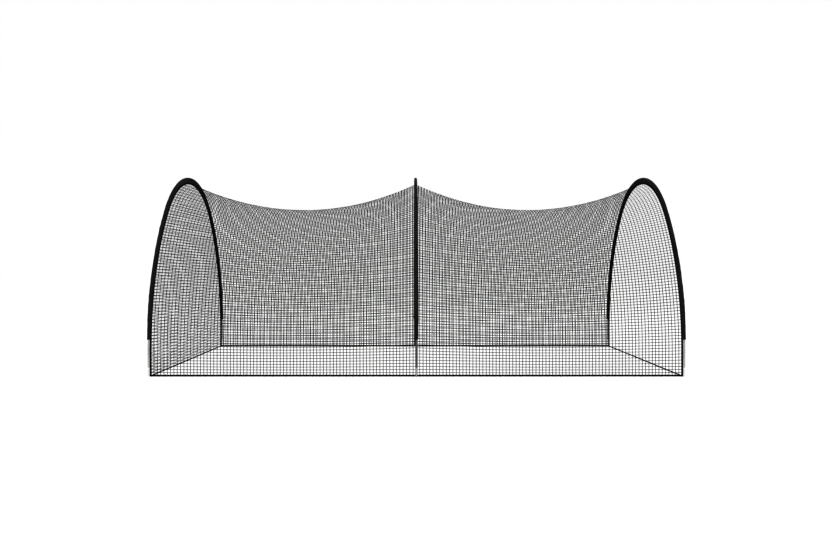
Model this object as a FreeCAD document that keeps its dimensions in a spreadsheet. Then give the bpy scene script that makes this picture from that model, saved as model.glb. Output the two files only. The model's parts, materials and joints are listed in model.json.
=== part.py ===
"""Golf practice net: a netted tunnel cage hung under three arched hoops.

The frame stands on +Z. X runs along the tunnel, from the netted end wall at -X to the open
end at +X. Y runs across it, with the front wall at -Y. The origin is on the ground, in the
middle of the cage. Lengths are in millimetres and angles in degrees.

Each hoop is two straight feet, two side arcs and one crown arc, all tangent to each other.
An angle on a hoop is measured from the horizontal, at the centre of the arc in question, so
it is 0 where a foot ends and 90 at the top of the crown.
"""
import FreeCAD, Part
import math
import os

import Sketcher
from FreeCAD import Placement, Rotation, Vector

SIZES = {
    # The cage as a whole.
    "cage_length": 6096.0,        # between the end hoops
    "hem_width": 3048.0,          # between the front and back hem ropes
    # The hoops, along the middle of their poles.
    "pole_offset": 60.0,          # from the net out to the pole
    "foot_height": 300.0,         # height of the straight foot
    "side_radius": 2621.0,
    "side_angle": 40.1,           # where the side arc meets the crown arc
    "lower_angle": 19.2,          # where the lower pole meets the upper pole
    # The steel.
    "pole_diameter": 25.4,
    "pole_wall": 1.5,
    "pole_end_height": 112.0,     # bottom end of the pole above the ground
    "spigot_reach": 60.0,         # into each of the two poles that it joins
    "spigot_wall": 2.0,
    "slide_clearance": 0.1,       # radial, spigot or stake in its pole
    "stake_undersize": 1.0,       # of the stake's body, across, under the pole
    "stake_grip": 180.0,          # length of stake inside the pole
    "point_length": 35.0,
    "point_diameter": 4.0,
    # The fabric sleeves that hold the net to the hoops.
    "sleeve_end_height": 430.0,
    "sleeve_slack": 0.8,          # radial, pole in its sleeve
    "sleeve_wall": 5.5,
    "web_thickness": 6.0,
    # Ropes and nets.
    "rope_diameter": 18.0,
    "end_rope_diameter": 10.0,    # of the lighter hem rope across each end
    "net_thickness": 4.0,
    "net_sag": 357.0,             # at the crown, half way between two hoops
    "sag_side_radius": 2100.0,    # of the net's side, half way between two hoops
    "soft_gap": 0.3,              # between two soft pieces
}
SAG_STATIONS = (0.0, 0.25, 0.5, 0.75, 1.0)
HOOPS = {"closed_end": -0.5, "middle": 0.0, "open_end": 0.5}
SIDES = {"front": -1, "back": 1}

doc = FreeCAD.newDocument("golf_practice_net")
sheet = doc.addObject("Spreadsheet::Sheet", "Sizes")
for row, (alias, value) in enumerate(SIZES.items(), start=1):
    sheet.set(f"A{row}", alias)
    sheet.set(f"B{row}", str(value))
    sheet.setAlias(f"B{row}", alias)
doc.recompute()

# Sizes that part.py's own code reads back from the sheet.
size = {alias: float(getattr(sheet, alias)) for alias in SIZES}
side_angle = math.radians(size["side_angle"])
lower_angle = math.radians(size["lower_angle"])
quarter_turn = math.pi / 2
net_half_width = size["hem_width"] / 2
pole_half_width = net_half_width + size["pole_offset"]
rope_radius = size["rope_diameter"] / 2
end_rope_radius = size["end_rope_diameter"] / 2
hem_top = size["rope_diameter"] + size["soft_gap"]
end_hem_top = size["end_rope_diameter"] + size["soft_gap"]

# The same sizes as expressions, for the objects that are bound to the sheet.
CROWN_RADIUS = (
    "(Sizes.side_radius - (Sizes.side_radius - Sizes.hem_width / 2 - Sizes.pole_offset)"
    " / cos(Sizes.side_angle))"
)
SIDE_RADIUS = "Sizes.side_radius"
POLE_RADIUS = "Sizes.pole_diameter / 2"
BORE_RADIUS = "(Sizes.pole_diameter / 2 - Sizes.pole_wall)"
FITTED_RADIUS = f"({BORE_RADIUS} - Sizes.slide_clearance)"
SPIGOT_BORE = f"({FITTED_RADIUS} - Sizes.spigot_wall)"
STAKE_RADIUS = "(Sizes.pole_diameter - Sizes.stake_undersize) / 2"

subparts = []


def keep(thing, label):
    """Names a finished sub-part, which also names its file."""
    thing.Label = label
    subparts.append(thing)
    return thing


def solid_feature(label, shape):
    """A sub-part whose shape this code works out from the sheet."""
    feature = doc.addObject("Part::Feature", label)
    feature.Shape = shape
    feature.Placement = Placement()
    return keep(feature, label)


class Arch:
    """A hoop's line, or the net's: feet, side arcs and a crown arc, tangent to each other."""

    def __init__(self, half_width, foot, side, angle, top=None):
        self.half_width = half_width
        self.foot = foot
        self.side = side
        if top is None:
            self.angle = angle
            self.crown = side - (side - half_width) / math.cos(angle)
        else:
            # The crown that reaches a given height and is tangent to the side arcs.
            rise = top - foot
            inward = side - half_width
            self.crown = (side**2 - inward**2 - rise**2) / (2 * (side - rise))
            self.angle = math.atan2(rise - self.crown, inward)
        self.crown_height = foot + (side - self.crown) * math.sin(self.angle)
        self.top = self.crown_height + self.crown

    def inset(self, distance):
        """The parallel arch, that far inside this one."""
        return Arch(self.half_width - distance, self.foot, self.side - distance, self.angle)

    def point(self, angle, sign=1, x=0.0):
        """The point at an angle, on the front (-1) or back (1) half."""
        if angle <= self.angle:
            across = self.half_width - self.side + self.side * math.cos(angle)
            return Vector(x, sign * across, self.foot + self.side * math.sin(angle))
        across = self.crown * math.cos(angle)
        return Vector(x, sign * across, self.crown_height + self.crown * math.sin(angle))

    def edges(self, x, base):
        """Edges from the front foot, at height base, over the crown to the back foot."""
        angle = self.angle
        corners = [Vector(x, -self.half_width, base)]
        corners += [self.point(0, -1, x), self.point(angle, -1, x)]
        corners += [self.point(angle, 1, x), self.point(0, 1, x)]
        corners += [Vector(x, self.half_width, base)]
        middles = [self.point(angle / 2, -1, x), self.point(quarter_turn, 1, x)]
        middles += [self.point(angle / 2, 1, x)]
        made = [Part.LineSegment(corners[0], corners[1]).toShape()]
        for index, middle in enumerate(middles, start=1):
            made.append(Part.Arc(corners[index], middle, corners[index + 1]).toShape())
        made.append(Part.LineSegment(corners[4], corners[5]).toShape())
        return made

    def closed_wire(self, x, base, thickness):
        """The outline of a band of net: this arch outside, and one thickness in from it."""
        outer = self.edges(x, base)
        inner = self.inset(thickness).edges(x, base)
        ends = []
        for which in (0, -1):
            near = outer[which].Vertexes[which].Point
            far = inner[which].Vertexes[which].Point
            ends.append(Part.LineSegment(near, far).toShape())
        return Part.Wire(Part.__sortEdges__(outer + [ends[1]] + inner + [ends[0]]))


pole_line = Arch(pole_half_width, size["foot_height"], size["side_radius"], side_angle)
net_line = pole_line.inset(size["pole_offset"])


# ---- Poles and spigots: bent steel tube ----

def place_on_arch(angle, sign, x):
    """A piece's own X points out of the arch, and its own Z runs up along it."""
    outward = Vector(0, sign * math.cos(angle), math.sin(angle))
    along = Vector(0, -sign * math.sin(angle), math.cos(angle))
    turn = Rotation(outward, along.cross(outward), along, "XZY")
    return Placement(pole_line.point(angle, sign, x), turn)


def ring_sketch(body, outer, bore, bends):
    """A ring at the body's origin, and the axis of each bend, inwards of it."""
    sketch = body.newObject("Sketcher::SketchObject", "ring")
    plane = [o for o in body.Origin.OriginFeatures if o.Role == "XY_Plane"][0]
    sketch.AttachmentSupport = [(plane, "")]
    sketch.MapMode = "FlatFace"
    for name, radius in (("outer", outer), ("bore", bore)):
        circle = sketch.addGeometry(Part.Circle(Vector(), Vector(0, 0, 1), 10.0), False)
        sketch.addConstraint([
            Sketcher.Constraint("Coincident", circle, 3, -1, 1),
            Sketcher.Constraint("Radius", circle, 10.0),
        ])
        sketch.renameConstraint(sketch.ConstraintCount - 1, name)
        sketch.setExpression(f"Constraints.{name}", radius)
    for index, bend in enumerate(bends):
        start = Vector(-1000.0, 50.0, 0)
        end = Vector(-1000.0, -50.0, 0)
        axis = sketch.addGeometry(Part.LineSegment(start, end), True)
        sketch.addConstraint([
            Sketcher.Constraint("Symmetric", axis, 1, axis, 2, -1),
            Sketcher.Constraint("DistanceY", axis, 2, axis, 1, 100.0),
            Sketcher.Constraint("DistanceX", axis, 1, -1, 1, 1000.0),
        ])
        sketch.renameConstraint(sketch.ConstraintCount - 1, f"bend_{index}")
        sketch.setExpression(f"Constraints.bend_{index}", bend)
    return sketch


def tube_body(label, outer, bore, foot=None, down=None, up=None):
    """A tube through the body's origin: foot is a straight length below it, and down and up
    are a bend radius and an angle each, all as expressions."""
    body = doc.addObject("PartDesign::Body", label)
    spans = [span for span in (down, up) if span]
    sketch = ring_sketch(body, outer, bore, [radius for radius, _ in spans])
    if foot:
        pad = body.newObject("PartDesign::Pad", "foot")
        pad.Profile = sketch
        pad.Reversed = True
        pad.setExpression("Length", foot)
    for index, (_, angle) in enumerate(spans):
        bend = body.newObject("PartDesign::Revolution", "bend")
        bend.Profile = sketch
        bend.ReferenceAxis = (sketch, [f"Axis{index}"])
        bend.Reversed = spans[index] is down
        bend.setExpression("Angle", angle)
    return body


def arc_angle(length, radius):
    """An expression for the angle that a length takes up on a bend."""
    return f"{length} / {radius} * 180 / pi"


for hoop, share in HOOPS.items():
    hoop_x = share * size["cage_length"]
    for side, sign in SIDES.items():
        lower = tube_body(
            f"{hoop}_{side}_lower_pole", POLE_RADIUS, BORE_RADIUS,
            foot="Sizes.foot_height - Sizes.pole_end_height",
            up=(SIDE_RADIUS, "Sizes.lower_angle"),
        )
        lower.Placement = place_on_arch(0.0, sign, hoop_x)
        keep(lower, f"{hoop}_{side}_lower_pole")
        upper = tube_body(
            f"{hoop}_{side}_upper_pole", POLE_RADIUS, BORE_RADIUS,
            up=(SIDE_RADIUS, "Sizes.side_angle - Sizes.lower_angle"),
        )
        upper.Placement = place_on_arch(lower_angle, sign, hoop_x)
        keep(upper, f"{hoop}_{side}_upper_pole")
        crown = tube_body(
            f"{hoop}_{side}_crown_pole", POLE_RADIUS, BORE_RADIUS,
            up=(CROWN_RADIUS, "90 - Sizes.side_angle"),
        )
        crown.Placement = place_on_arch(side_angle, sign, hoop_x)
        keep(crown, f"{hoop}_{side}_crown_pole")

    # Inside each joint of two poles sits a short spigot, half in either of them.
    side_reach = arc_angle("Sizes.spigot_reach", SIDE_RADIUS)
    crown_reach = arc_angle("Sizes.spigot_reach", CROWN_RADIUS)
    joints = []
    for side, sign in SIDES.items():
        joints.append((lower_angle, sign, SIDE_RADIUS, side_reach, SIDE_RADIUS, side_reach))
        joints.append((side_angle, sign, SIDE_RADIUS, side_reach, CROWN_RADIUS, crown_reach))
    joints.append((quarter_turn, 1, CROWN_RADIUS, crown_reach, CROWN_RADIUS, crown_reach))
    spigots = []
    for angle, sign, radius_below, reach_below, radius_above, reach_above in joints:
        spigot = tube_body(
            f"{hoop}_spigot_{len(spigots)}", FITTED_RADIUS, SPIGOT_BORE,
            down=(radius_below, reach_below), up=(radius_above, reach_above),
        )
        spigot.Placement = place_on_arch(angle, sign, hoop_x)
        spigots.append(spigot)
    group = doc.addObject("Part::Compound", f"{hoop}_spigots")
    group.Links = spigots
    keep(group, f"{hoop}_pole_spigots")


# ---- Ground stakes: a point, a body as thick as the pole, and a shank that slides in it ----

def ground_stake(label, x, y):
    point = doc.addObject("Part::Cone", f"{label}_point")
    point.setExpression("Radius1", "Sizes.point_diameter / 2")
    point.setExpression("Radius2", STAKE_RADIUS)
    point.setExpression("Height", "Sizes.point_length")
    collar = doc.addObject("Part::Cylinder", f"{label}_collar")
    collar.setExpression("Radius", STAKE_RADIUS)
    collar.setExpression("Height", "Sizes.pole_end_height - Sizes.point_length")
    collar.setExpression("Placement.Base.z", "Sizes.point_length")
    shank = doc.addObject("Part::Cylinder", f"{label}_shank")
    shank.setExpression("Radius", FITTED_RADIUS)
    shank.setExpression("Height", "Sizes.stake_grip")
    shank.setExpression("Placement.Base.z", "Sizes.pole_end_height")
    stake = doc.addObject("Part::MultiFuse", label)
    stake.Shapes = [point, collar, shank]
    stake.Placement = Placement(Vector(x, y, 0), Rotation())
    return keep(stake, label)


for hoop, share in HOOPS.items():
    for side, sign in SIDES.items():
        ground_stake(
            f"{hoop}_{side}_ground_stake", share * size["cage_length"], sign * pole_half_width
        )


# ---- Pieces that follow a whole hoop: sleeves and edge ropes ----

def turned(shape, centre, degrees):
    """A copy turned about a line along X through centre."""
    copied = shape.copy()
    copied.rotate(centre, Vector(1, 0, 0), degrees)
    return copied


def follow_arch(section, arch, x, base):
    """Sweeps a section, drawn at the top of the arch, down both sides to height base."""
    crown_centre = Vector(x, 0, arch.crown_height)
    to_side = math.degrees(quarter_turn - arch.angle)
    ends = turned(section, crown_centre, -to_side)
    pieces = [ends.revolve(crown_centre, Vector(1, 0, 0), 2 * to_side)]
    lowest = math.asin(max(0.0, base - arch.foot) / arch.side)
    for sign in (-1, 1):
        side_centre = Vector(x, sign * (arch.half_width - arch.side), arch.foot)
        start = turned(section, crown_centre, -sign * to_side)
        down = -sign * math.degrees(arch.angle - lowest)
        pieces.append(start.revolve(side_centre, Vector(1, 0, 0), down))
        if base < arch.foot:
            level = turned(start, side_centre, down)
            pieces.append(level.extrude(Vector(0, 0, base - arch.foot)))
    return pieces[0].fuse(pieces[1:])


def disc(centre, radius):
    """A round section across the top of an arch."""
    return Part.Face(Part.Wire(Part.makeCircle(radius, centre, Vector(0, 1, 0))))


def pole_sleeve(x):
    """A pocket around the pole, and a doubled web that reaches in to the edge rope."""
    top = Vector(x, 0, pole_line.top)
    bore_radius = size["pole_diameter"] / 2 + size["sleeve_slack"]
    pocket_radius = bore_radius + size["sleeve_wall"]
    half_web = size["web_thickness"] / 2
    web_top = -math.sqrt(pocket_radius**2 - half_web**2)
    web_foot = rope_radius + size["soft_gap"] - size["pole_offset"]
    left, right = (top + Vector(across, 0, web_top) for across in (-half_web, half_web))
    low_left, low_right = (top + Vector(across, 0, web_foot) for across in (-half_web, half_web))
    outline = Part.Wire([
        Part.Arc(left, top + Vector(0, 0, pocket_radius), right).toShape(),
        Part.LineSegment(right, low_right).toShape(),
        Part.LineSegment(low_right, low_left).toShape(),
        Part.LineSegment(low_left, left).toShape(),
    ])
    section = Part.Face(outline).cut(disc(top, bore_radius)).Faces[0]
    return follow_arch(section, pole_line, x, size["sleeve_end_height"])


for hoop, share in HOOPS.items():
    hoop_x = share * size["cage_length"]
    solid_feature(f"{hoop}_pole_sleeve", pole_sleeve(hoop_x))
    rope_section = disc(Vector(hoop_x, 0, net_line.top), rope_radius)
    solid_feature(f"{hoop}_edge_rope", follow_arch(rope_section, net_line, hoop_x, hem_top))


# ---- Hem ropes: they lie on the ground, round the foot of the net ----

def hem_rope(label, axis, diameter, length, start):
    rope = doc.addObject("Part::Cylinder", label)
    rope.setExpression("Radius", f"{diameter} / 2")
    rope.setExpression("Height", length)
    rope.Placement = Placement(start, Rotation(Vector(0, 0, 1), axis))
    return keep(rope, label)


half_length = size["cage_length"] / 2
for side, sign in SIDES.items():
    hem_rope(
        f"{side}_hem_rope", Vector(1, 0, 0), "Sizes.rope_diameter",
        "Sizes.cage_length + Sizes.rope_diameter",
        Vector(-half_length - rope_radius, sign * net_half_width, rope_radius),
    )
between_hems = net_half_width - rope_radius - size["soft_gap"]
for hoop, sign in (("closed_end", -1), ("open_end", 1)):
    hem_rope(
        f"{hoop}_hem_rope", Vector(0, 1, 0), "Sizes.end_rope_diameter",
        "Sizes.hem_width - Sizes.rope_diameter - 2 * Sizes.soft_gap",
        Vector(sign * half_length, -between_hems, end_rope_radius),
    )


# ---- Nets: one over each bay, and one that closes the end ----

def bay_net(start, end):
    """A band that is the net's arch at both hoops and sags between them."""
    sagged_top = net_line.top - size["net_sag"]
    wires = []
    for share in SAG_STATIONS:
        depth = 4 * share * (1 - share)
        arch = Arch(
            net_half_width, size["foot_height"],
            net_line.side + depth * (size["sag_side_radius"] - net_line.side), None,
            top=net_line.top + depth * (sagged_top - net_line.top),
        )
        outer = arch.inset(-size["net_thickness"] / 2)
        x = start + share * (end - start)
        wires.append(outer.closed_wire(x, hem_top, size["net_thickness"]))
    return Part.makeLoft(wires, True, False)


edge = rope_radius + size["soft_gap"]
solid_feature("closed_bay_net", bay_net(-half_length + edge, -edge))
solid_feature("open_bay_net", bay_net(edge, half_length - edge))

wall_line = net_line.inset(rope_radius + size["soft_gap"])
wall_x = -half_length - size["net_thickness"] / 2
wall_edges = wall_line.edges(wall_x, end_hem_top)
wall_foot = Part.LineSegment(wall_edges[-1].Vertexes[-1].Point, wall_edges[0].Vertexes[0].Point)
wall_face = Part.Face(Part.Wire(Part.__sortEdges__(wall_edges + [wall_foot.toShape()])))
solid_feature("end_wall_net", wall_face.extrude(Vector(size["net_thickness"], 0, 0)))


# ---- Check and export ----

doc.recompute()
for thing in doc.Objects:
    if "Invalid" in thing.State or "Error" in thing.State:
        raise RuntimeError(f"{thing.Label} failed: {thing.State}")
os.makedirs("parts", exist_ok=True)
for part in subparts:
    shape = part.Shape
    if shape.isNull() or not shape.isValid() or not shape.Solids:
        raise RuntimeError(f"{part.Label} has no valid solid")
for part in subparts:
    shape = part.Shape
    shape.exportStep(f"parts/{part.Label}.step")
    box = shape.BoundBox
    print(
        f"{part.Label}: {len(shape.Solids)} solid(s), {shape.Volume / 1000:.1f} cm3, "
        f"{box.XLength:.1f} x {box.YLength:.1f} x {box.ZLength:.1f}, from z {box.ZMin:.1f}"
    )
print(f"{len(subparts)} sub-parts; hoop top {pole_line.top:.1f}; net top {net_line.top:.1f}")
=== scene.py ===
# %% [markdown]
# A golf practice net is a tunnel of black netting hung under three bent steel hoops. A fabric
# sleeve is threaded on each hoop, a rope runs round every edge, and a stake holds each foot.
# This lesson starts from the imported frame, which holds the steel exactly, and makes the rest.

import bpy
import json
import math
import numpy as np
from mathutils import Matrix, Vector


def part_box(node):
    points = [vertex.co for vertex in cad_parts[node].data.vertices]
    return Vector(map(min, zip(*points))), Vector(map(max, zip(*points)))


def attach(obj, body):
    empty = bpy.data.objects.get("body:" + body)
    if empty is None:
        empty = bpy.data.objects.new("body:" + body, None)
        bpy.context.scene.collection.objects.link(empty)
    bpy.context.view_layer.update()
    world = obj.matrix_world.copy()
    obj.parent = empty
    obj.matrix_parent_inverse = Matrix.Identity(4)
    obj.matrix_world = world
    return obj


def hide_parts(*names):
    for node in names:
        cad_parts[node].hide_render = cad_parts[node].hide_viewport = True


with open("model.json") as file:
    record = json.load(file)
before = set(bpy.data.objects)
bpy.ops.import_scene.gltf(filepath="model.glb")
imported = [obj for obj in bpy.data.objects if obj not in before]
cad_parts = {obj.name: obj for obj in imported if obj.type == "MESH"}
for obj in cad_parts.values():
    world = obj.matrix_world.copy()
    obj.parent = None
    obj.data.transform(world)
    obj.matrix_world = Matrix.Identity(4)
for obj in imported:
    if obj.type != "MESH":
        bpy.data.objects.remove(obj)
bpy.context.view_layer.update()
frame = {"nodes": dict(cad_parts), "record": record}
nodes = frame["nodes"]
scene = bpy.context.scene

# %% [markdown]
# The camera stands in front of the middle hoop, a little above a player's waist, and looks
# level along +Y. A level camera keeps every upright upright. A slight downward shift, and not
# a tilt, brings the cage to the middle of the picture.

# %% Camera
LENS_MM = 31.05
SENSOR_MM = 36.0
CAMERA_BACK = 8.24            # from the front hem rope
CAMERA_ASIDE = -0.064
CAMERA_HEIGHT = 1.278
CAMERA_SHIFT_X = 0.0068
CAMERA_SHIFT_Y = -0.0150

front_hem_low, front_hem_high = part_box("front_hem_rope")
front_hem_y = (front_hem_low.y + front_hem_high.y) / 2
camera = bpy.data.objects.new("camera", bpy.data.cameras.new("camera"))
camera.data.lens = LENS_MM
camera.data.sensor_width = SENSOR_MM
camera.data.shift_x = CAMERA_SHIFT_X
camera.data.shift_y = CAMERA_SHIFT_Y
camera.location = (CAMERA_ASIDE, front_hem_y - CAMERA_BACK, CAMERA_HEIGHT)
camera.rotation_euler = (math.radians(90), 0, 0)
scene.collection.objects.link(camera)
scene.camera = camera
print("camera", tuple(round(x, 3) for x in camera.location))

# %% [markdown]
# Each hoop, and the edge of the net inside it, is one curve: straight feet, two side arcs and
# a crown arc, tangent to each other. The net between two hoops is the same kind of curve,
# lower and flatter. So one small class serves the sleeves, the ropes and the nets. Its share
# runs from 0 at the front foot to 1 at the back foot, evenly along the curve.

# %% The arch
FOOT_HEIGHT = 0.300
POLE_SIDE_RADIUS = 2.621
SIDE_ANGLE = math.radians(40.1)


class Arch:
    def __init__(self, half_width, side, angle=None, top=None):
        self.half_width, self.side = half_width, side
        inward = side - half_width
        if top is None:
            self.angle, self.crown = angle, side - inward / math.cos(angle)
        else:
            rise = top - FOOT_HEIGHT
            self.crown = (side**2 - inward**2 - rise**2) / (2 * (side - rise))
            self.angle = math.atan2(rise - self.crown, inward)
        self.crown_height = FOOT_HEIGHT + (side - self.crown) * math.sin(self.angle)
        self.top = self.crown_height + self.crown
        self.side_length = side * self.angle
        self.crown_length = self.crown * (math.pi / 2 - self.angle)

    def length(self, base=0.0):
        return 2 * (FOOT_HEIGHT - base + self.side_length + self.crown_length)

    def inset(self, distance):
        return Arch(self.half_width - distance, self.side - distance, self.angle)

    def at(self, share, base=0.0):
        """Places (y, z) on the arch, and its outward direction (y, z) there."""
        run = np.asarray(share, float) * self.length(base)
        near = np.minimum(run, self.length(base) - run)
        sign = np.where(run < self.length(base) / 2, -1.0, 1.0)
        past_foot = near - (FOOT_HEIGHT - base)
        past_side = past_foot - self.side_length
        angle = np.clip(past_foot / self.side, 0, self.angle) + np.maximum(past_side, 0) / self.crown
        on_crown = past_side > 0
        radius = np.where(on_crown, self.crown, self.side)
        y = np.where(on_crown, 0.0, self.half_width - self.side) + radius * np.cos(angle)
        z = np.where(on_crown, self.crown_height, FOOT_HEIGHT) + radius * np.sin(angle)
        z = np.where(past_foot < 0, base + near, z)
        place = np.stack([sign * y, z], axis=-1)
        return place, np.stack([sign * np.cos(angle), np.sin(angle)], axis=-1)

    def share_at_height(self, height):
        """The front share whose place is that high, on the side arc."""
        up = math.asin((height - FOOT_HEIGHT) / self.side)
        return (FOOT_HEIGHT + self.side * up) / self.length()


HOOPS = ("closed_end", "middle", "open_end")
hoop_x = {}
for hoop in HOOPS:
    low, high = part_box(f"{hoop}_front_ground_stake")
    hoop_x[hoop] = (low.x + high.x) / 2
stake_low, stake_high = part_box("middle_front_ground_stake")
pole_half_width = -(stake_low.y + stake_high.y) / 2
rope_radius = (front_hem_high.z - front_hem_low.z) / 2
net_half_width = -front_hem_y

pole_line = Arch(pole_half_width, POLE_SIDE_RADIUS, SIDE_ANGLE)
net_line = pole_line.inset(pole_half_width - net_half_width)
cad_net_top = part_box("middle_edge_rope")[1].z - rope_radius
print("pole top", round(pole_line.top, 4), "net top", round(net_line.top, 4), round(cad_net_top, 4))

# %% [markdown]
# The studio is white all round, with a pale floor that fades into it, as for a catalogue. A
# large soft lamp from the upper left, a weaker one from the right and one from behind give the
# poles and ropes their highlights. The twines are finer than the eye can part from here, so
# the picture keeps light values as they are, which lets the net read as dark as it does.

# %% Studio
scene.view_settings.view_transform = "Raw"
world = bpy.data.worlds.new("studio")
world.use_nodes = True
world.node_tree.nodes["Background"].inputs["Color"].default_value = (1, 1, 1, 1)
world.node_tree.nodes["Background"].inputs["Strength"].default_value = 1.0
scene.world = world

FLOOR_HALF_SIZE = 60.0
FLOOR_DROP = 0.0005
FLOOR_GREY = 0.12
FLOOR_GLOW = 0.9
floor_mesh = bpy.data.meshes.new("floor")
corners = [(x * FLOOR_HALF_SIZE, y * FLOOR_HALF_SIZE, -FLOOR_DROP) for x, y in
           ((-1, -1), (1, -1), (1, 1), (-1, 1))]
floor_mesh.from_pydata(corners, [], [(0, 1, 2, 3)])
floor = bpy.data.objects.new("floor", floor_mesh)
scene.collection.objects.link(floor)
floor_paint = bpy.data.materials.new("pale_floor")
floor_paint.use_nodes = True
floor_shader = floor_paint.node_tree.nodes["Principled BSDF"]
floor_shader.inputs["Base Color"].default_value = (FLOOR_GREY,) * 3 + (1,)
floor_shader.inputs["Roughness"].default_value = 1.0
floor_shader.inputs["Specular IOR Level"].default_value = 0.0
floor_shader.inputs["Emission Color"].default_value = (1, 1, 1, 1)
floor_shader.inputs["Emission Strength"].default_value = FLOOR_GLOW
floor_mesh.materials.append(floor_paint)


LAMPS = {                     # place, width and watts
    "key_lamp": (Vector((-6, -9, 8)), 4.0, 900),
    "fill_lamp": (Vector((8, -7, 5)), 5.0, 350),
    "back_lamp": (Vector((2, 9, 8)), 4.0, 500),
}
LAMP_TARGET = Vector((0, 0, 1))
for name, (place, width, watts) in LAMPS.items():
    lamp = bpy.data.objects.new(name, bpy.data.lights.new(name, "AREA"))
    lamp.data.shape = "DISK"
    lamp.data.size = width
    lamp.data.energy = watts
    lamp.location = place
    lamp.rotation_euler = (LAMP_TARGET - place).to_track_quat("-Z", "Y").to_euler()
    scene.collection.objects.link(lamp)
print("lamps", ", ".join(LAMPS))

# %% [markdown]
# Every finish is a small network of nodes on the Principled shader. A few helpers keep each
# one short: one adds a node and sets its inputs, others make a ramp, a bump, a noise or a sum,
# and one starts a finish with its uniform values set on the shader's own sockets.

# %% Helpers for materials
def add(tree, kind, settings=None, **values):
    """A new node, with settings of its own and values of its inputs."""
    node = tree.nodes.new(kind)
    for key, value in (settings or {}).items():
        setattr(node, key, value)
    for key, value in values.items():
        node.inputs[key.replace("_", " ")].default_value = value
    return node


def ramp(tree, source, stops):
    """A colour ramp on a source socket; stops are (position, grey or colour)."""
    node = add(tree, "ShaderNodeValToRGB")
    tree.links.new(source, node.inputs["Fac"])
    elements = node.color_ramp.elements
    while len(elements) < len(stops):
        elements.new(0.5)
    for element, (position, colour) in zip(elements, stops, strict=True):
        element.position = position
        element.color = (*colour, 1) if isinstance(colour, tuple) else (colour,) * 3 + (1,)
    return node.outputs["Color"]


def finish(name, **uniform):
    """A new material, its tree, its shader and a socket of Object coordinates."""
    material = bpy.data.materials.new(name)
    material.use_nodes = True
    tree = material.node_tree
    shader = tree.nodes["Principled BSDF"]
    for key, value in uniform.items():
        shader.inputs[key.replace("_", " ")].default_value = value
    return material, tree, shader, add(tree, "ShaderNodeTexCoord").outputs["Object"]


def bump(tree, shader, height, distance, strength=1.0, under=None):
    """Relief on the shader, over another bump if there is one under it."""
    node = add(tree, "ShaderNodeBump", Strength=strength, Distance=distance)
    tree.links.new(height, node.inputs["Height"])
    if under:
        tree.links.new(under, node.inputs["Normal"])
    tree.links.new(node.outputs["Normal"], shader.inputs["Normal"])
    return node.outputs["Normal"]


def noise(tree, place, scale, detail=3.0, roughness=0.5):
    node = add(tree, "ShaderNodeTexNoise", Scale=scale, Detail=detail, Roughness=roughness)
    tree.links.new(place, node.inputs["Vector"])
    return node.outputs["Fac"]


def maths(tree, operation, first, second=None, third=None):
    node = add(tree, "ShaderNodeMath", {"operation": operation})
    for index, value in enumerate((first, second, third)):
        if isinstance(value, bpy.types.NodeSocket):
            tree.links.new(value, node.inputs[index])
        elif value is not None:
            node.inputs[index].default_value = value
    return node.outputs["Value"]


# %% [markdown]
# The poles are steel tube with a satin grey coat, and the stakes are plain zinc plate, which
# is brighter. Both are worked out from Object coordinates, so they need no UV map: a fine
# speckle for the coat, wide soft stains, and scuffs where dust and shoes reach, near the
# ground. The middle hoop's feet are darker than the others, coat and zinc alike.

# %% Steel finishes
def pole_coat(name, grey):
    material, tree, shader, place = finish(
        name, Roughness=0.42, Specular_IOR_Level=0.25, Coat_Weight=0.04, Coat_Roughness=0.3,
    )
    stains = ramp(tree, noise(tree, place, 5.0, 5.0), [
        (0.3, tuple(grey * tint for tint in (0.90, 0.91, 0.92))),
        (0.7, tuple(grey * tint for tint in (1.08, 1.09, 1.10))),
    ])
    height = add(tree, "ShaderNodeSeparateXYZ")
    tree.links.new(place, height.inputs[0])
    splash = maths(tree, "MULTIPLY_ADD", noise(tree, place, 40.0, 6.0, 0.7), -0.35,
                   height.outputs["Z"])
    dust = ramp(tree, splash, [(0.0, 1.0), (0.14, 0.0)])
    mix = add(tree, "ShaderNodeMix", {"data_type": "RGBA"})
    tree.links.new(maths(tree, "MULTIPLY", dust, 0.35), mix.inputs["Factor"])
    tree.links.new(stains, mix.inputs[6])
    mix.inputs[7].default_value = tuple(grey * tint for tint in (1.3, 1.25, 1.1)) + (1,)
    tree.links.new(mix.outputs[2], shader.inputs["Base Color"])
    peel = maths(tree, "ADD", noise(tree, place, 900.0, 2.0),
                 maths(tree, "MULTIPLY", noise(tree, place, 160.0, 2.0), 1.5))
    bump(tree, shader, peel, 0.00012, 0.5)
    return material


def stake_zinc(name, bright):
    material, tree, shader, place = finish(name, Metallic=1.0)
    cells = add(tree, "ShaderNodeTexVoronoi", Scale=140.0)
    tree.links.new(place, cells.inputs["Vector"])
    spangle = ramp(tree, cells.outputs["Color"], [
        (0.0, tuple(bright * tint for tint in (0.86, 0.87, 0.88))),
        (1.0, tuple(bright * tint for tint in (1.08, 1.09, 1.10))),
    ])
    tree.links.new(spangle, shader.inputs["Base Color"])
    rough = maths(tree, "MULTIPLY_ADD", noise(tree, place, 60.0, 5.0, 0.6), 0.35, 0.2)
    tree.links.new(rough, shader.inputs["Roughness"])
    bump(tree, shader, noise(tree, place, 500.0, 4.0), 0.0001, 0.4)
    return material


def plain_steel():
    material, tree, shader, place = finish("plain_steel", Metallic=1.0)
    tree.links.new(ramp(tree, noise(tree, place, 90.0, 4.0), [(0.3, 0.5), (0.7, 0.66)]),
                   shader.inputs["Base Color"])
    rough = maths(tree, "MULTIPLY_ADD", noise(tree, place, 200.0, 3.0), 0.3, 0.25)
    tree.links.new(rough, shader.inputs["Roughness"])
    return material


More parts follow.
